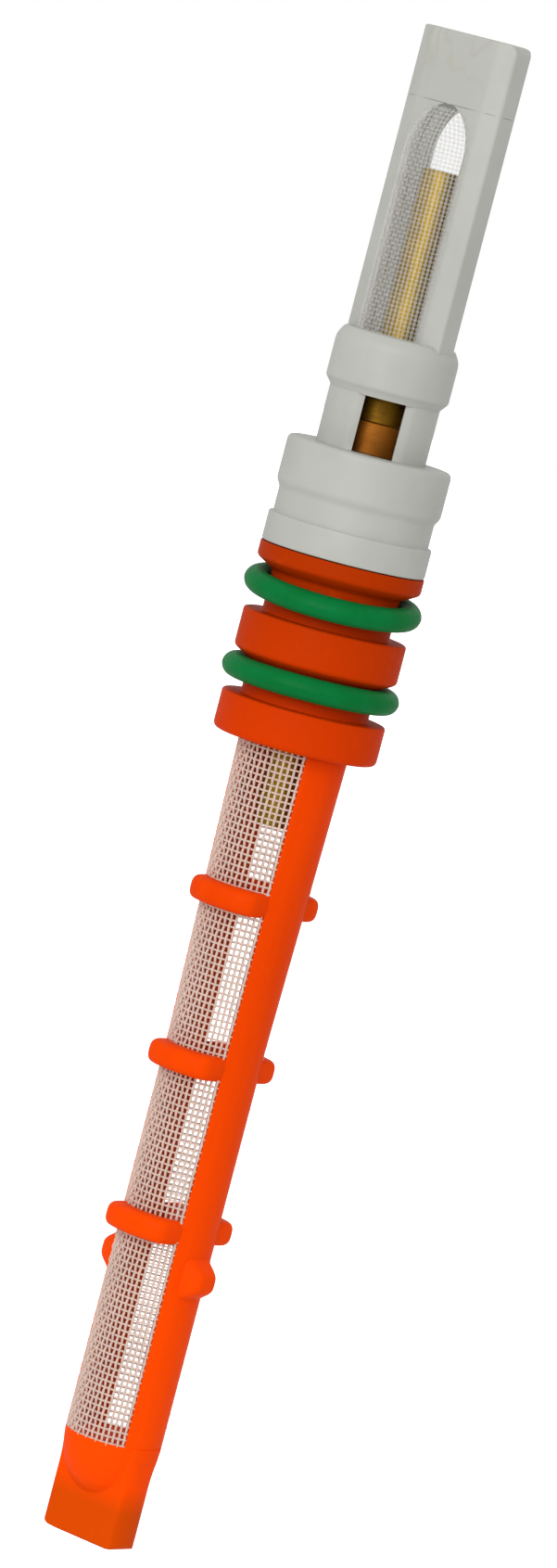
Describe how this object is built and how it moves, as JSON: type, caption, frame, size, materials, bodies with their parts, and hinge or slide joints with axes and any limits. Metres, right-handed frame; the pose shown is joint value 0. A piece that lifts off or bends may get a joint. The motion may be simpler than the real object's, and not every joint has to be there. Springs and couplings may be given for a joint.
{
  "type": "variable orifice tube",
  "caption": "Slim screened metering tube for an air-conditioning line: moulded inlet and outlet cages, O-ring seals, brass tube and a sprung bypass valve.",
  "frame": {"origin": "on the tube's axis, in the plane of the outlet body's shoulder face", "axes": "+Z along the tube towards the outlet end; the screened windows face -Y and +Y; the cage rails lie at -X and +X"},
  "size_m": [0.0104, 0.0104, 0.0883],
  "materials": {
    "inlet_plastic": "orange moulded nylon, satin",
    "outlet_plastic": "grey-white moulded nylon, satin",
    "screen_cloth": "white woven nylon cloth",
    "green_rubber": "green nitrile rubber, slight sheen",
    "tube_brass": "drawn brass",
    "seal_rubber": "black rubber washer",
    "piston_bronze": "turned, tarnished brown brass",
    "spring_steel": "bright spring wire"
  },
  "bodies": {
    "housing": {"inlet_body": "inlet_plastic", "outlet_body": "outlet_plastic", "inlet_screen_front": "screen_cloth", "inlet_screen_back": "screen_cloth", "outlet_screen_front": "screen_cloth", "outlet_screen_back": "screen_cloth", "o_ring_upper": "green_rubber", "o_ring_lower": "green_rubber", "metering_tube": "tube_brass", "tube_ferrule": "tube_brass", "valve_seat": "tube_brass", "valve_spring": "spring_steel"},
    "piston": {"valve_piston": "piston_bronze", "piston_seal": "seal_rubber"}
  },
  "joints": [
    {"name": "piston_lift", "type": "slide", "parent": "housing", "child": "piston", "axis": [0, 0, 1], "range_m": [0, 0.0009], "stiffness_N_per_m": 100, "springref_m": -0.001, "deforming": ["valve_spring"]}
  ]
}
